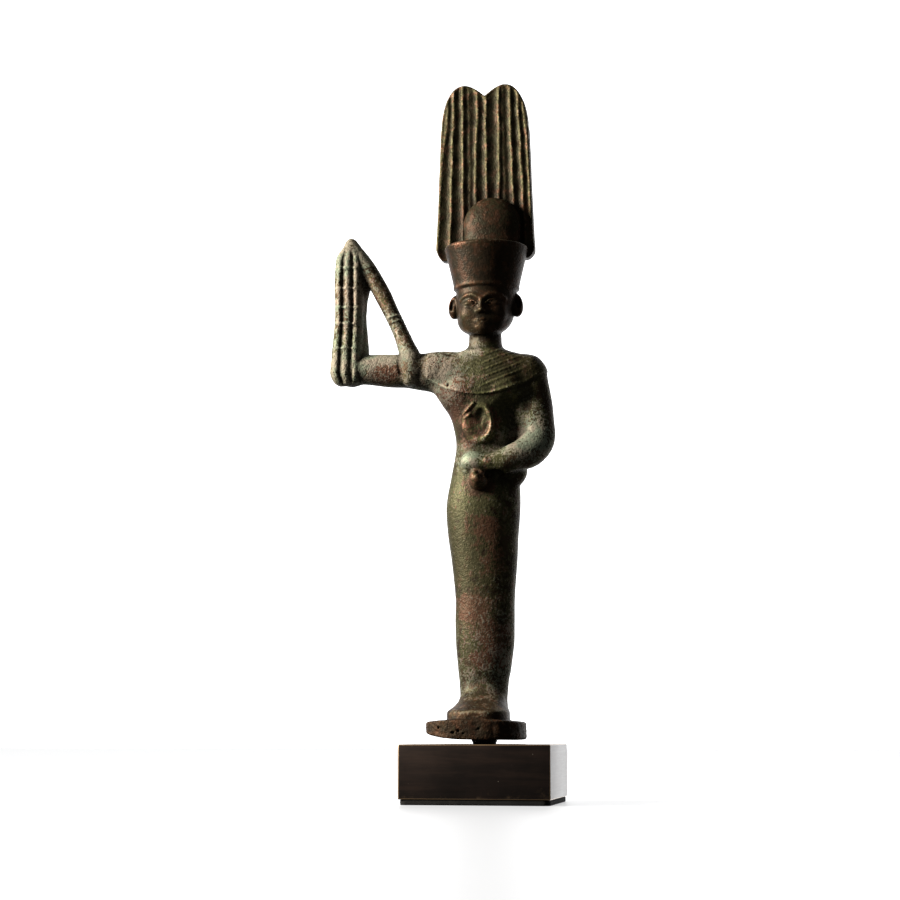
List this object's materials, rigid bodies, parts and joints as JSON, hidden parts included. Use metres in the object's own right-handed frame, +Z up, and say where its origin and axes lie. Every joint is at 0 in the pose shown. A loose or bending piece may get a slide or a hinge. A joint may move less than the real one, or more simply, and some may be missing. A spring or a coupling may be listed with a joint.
{
  "type": "mounted bronze figurine",
  "caption": "Cast bronze figure of a mummy-shaped god with a tall double-plume crown and a raised flail, on a peg above a low metal display block.",
  "frame": {"origin": "centre of the underside of the black pad under the mount block", "axes": "+Z up, the figure faces -Y, +X is the viewer's right"},
  "size_m": [0.0702, 0.039, 0.2234],
  "materials": {
    "bronze": "dark brown and olive patina, satin, pitted",
    "block_metal": "dark brown patinated, semi-gloss, finely brushed",
    "peg_metal": "black, satin",
    "pad": "black, matt"
  },
  "bodies": {
    "root": {"figure": "bronze", "mount_peg": "peg_metal", "mount_block": "block_metal", "base_pad": "pad"}
  },
  "joints": []
}
